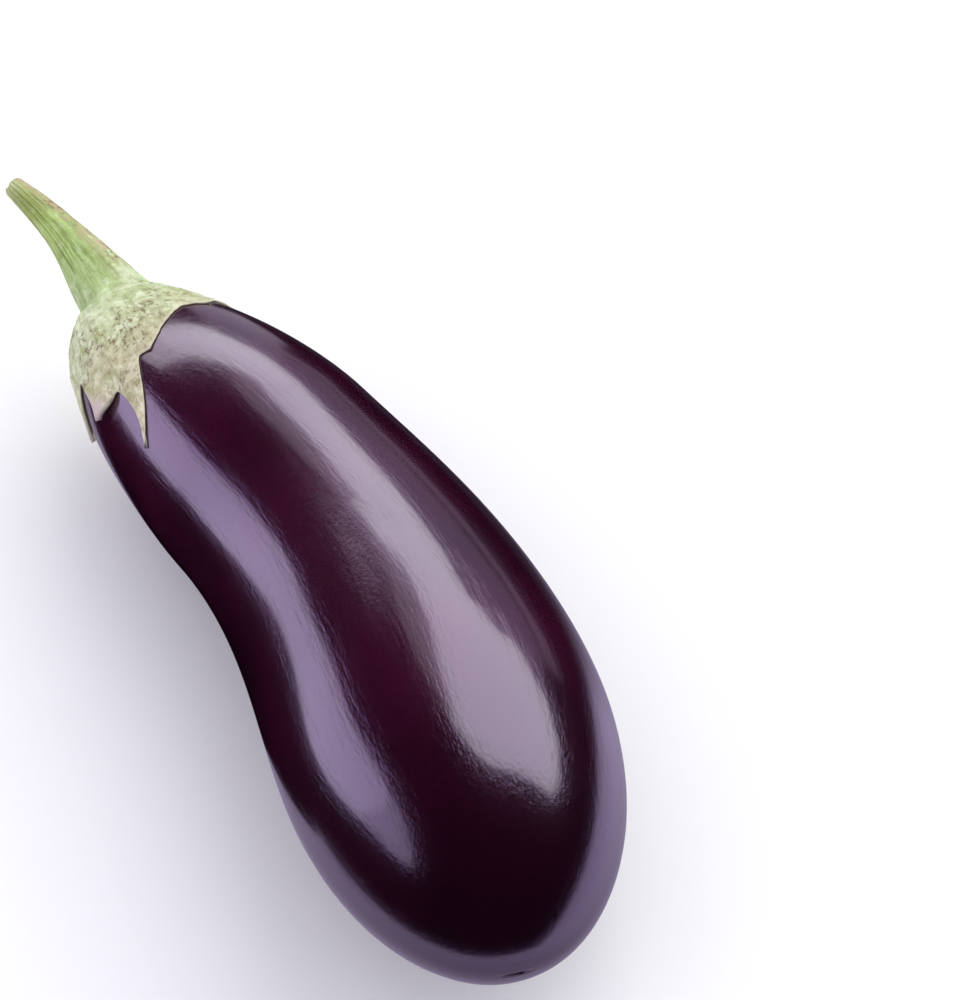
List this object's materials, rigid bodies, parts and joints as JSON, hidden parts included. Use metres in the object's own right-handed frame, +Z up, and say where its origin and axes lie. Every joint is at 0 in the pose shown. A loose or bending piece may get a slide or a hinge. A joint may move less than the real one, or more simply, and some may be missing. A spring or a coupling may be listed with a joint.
{
  "type": "eggplant",
  "caption": "Long curved eggplant lying on its side, with a glossy fruit, a pointed leafy calyx over its shoulder and a cut tapering stem.",
  "frame": {"origin": "middle of the small flat spot under the fruit that it rests on, in the plane of the surface it lies on", "axes": "+X along the fruit's long way, from the stem towards the blossom end; +Z up; the hollow side of the bend faces -Y"},
  "size_m": [0.2499, 0.0799, 0.0774],
  "materials": {
    "fruit": "very dark purple waxy skin, glossy, with faint specks and scuffs",
    "calyx": "pale green to cream leathery leaf, matte, with fine ribs and brown speckles",
    "stem": "green fibrous stalk, matte, with darker lengthwise streaks and a dry cut end"
  },
  "bodies": {
    "root": {"fruit": "fruit", "calyx": "calyx", "stem": "stem"}
  },
  "joints": []
}
